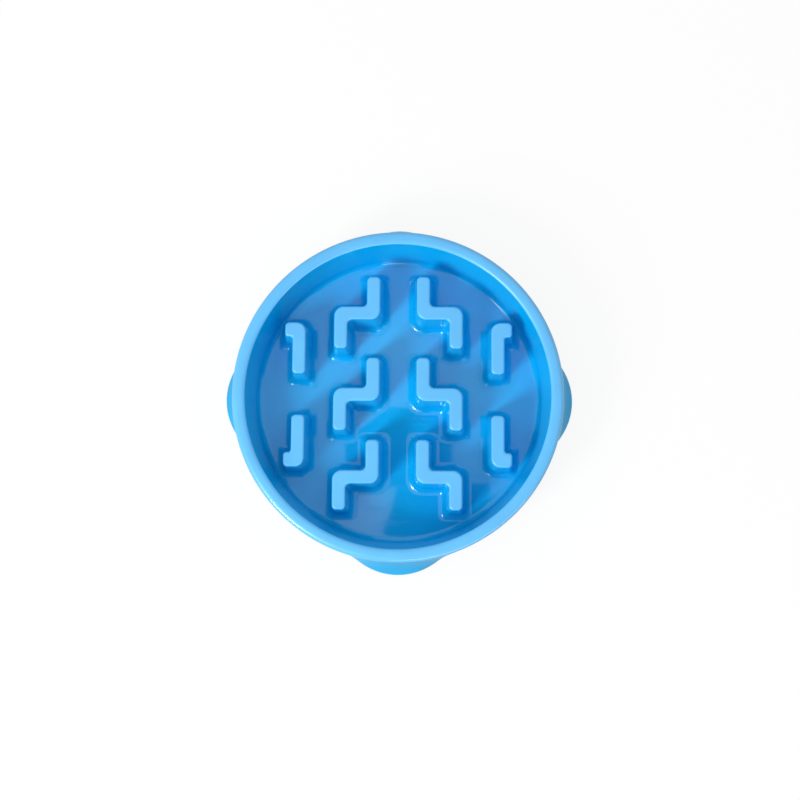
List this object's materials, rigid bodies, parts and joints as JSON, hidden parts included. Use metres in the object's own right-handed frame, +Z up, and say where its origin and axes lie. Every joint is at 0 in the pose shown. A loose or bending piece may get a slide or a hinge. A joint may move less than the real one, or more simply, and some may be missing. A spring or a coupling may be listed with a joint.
{
  "type": "slow feeder bowl",
  "caption": "Round pet bowl with a maze of raised ridges on its floor that slows eating, on flared feet with non-slip rubber pads.",
  "frame": {"origin": "on the table, under the centre of the bowl", "axes": "+Z up, -Y towards the front, +X to the right, as the picture shows it from above"},
  "size_m": [0.2182, 0.2182, 0.0432],
  "materials": {
    "blue_plastic": "glossy moulded polypropylene, satin on the rim and the ridges' tops",
    "pad_rubber": "matte non-slip rubber"
  },
  "bodies": {
    "root": {"bowl": "blue_plastic", "foot_pad_front": "pad_rubber", "foot_pad_right": "pad_rubber", "foot_pad_rear": "pad_rubber", "foot_pad_left": "pad_rubber"}
  },
  "joints": []
}
